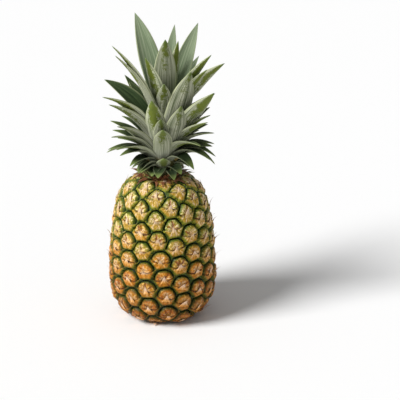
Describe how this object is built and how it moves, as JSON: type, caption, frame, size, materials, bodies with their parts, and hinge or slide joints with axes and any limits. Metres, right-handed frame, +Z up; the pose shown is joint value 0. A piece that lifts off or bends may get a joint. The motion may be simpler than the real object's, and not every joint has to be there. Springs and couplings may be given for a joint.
{
  "type": "whole pineapple",
  "caption": "Whole upright pineapple: a barrel-shaped fruit with a skin of raised hexagonal eyes, a leafy crown of pointed channelled leaves and a cut stalk.",
  "frame": {"origin": "centre of the flat spot that the fruit stands on, on the end face of the cut stalk", "axes": "+Z up along the fruit's axis towards the crown, -Y towards the viewer of the picture, +X to the viewer's right"},
  "size_m": [0.1279, 0.1198, 0.331],
  "materials": {
    "skin": "fruit skin, waxy golden and green eyes with dry bracts",
    "leaf": "leathery leaf, grey-green with a waxy bloom",
    "stalk": "dry cut plant fibre"
  },
  "bodies": {
    "root": {"fruit": "skin", "crown": "leaf", "stalk": "stalk"}
  },
  "joints": []
}
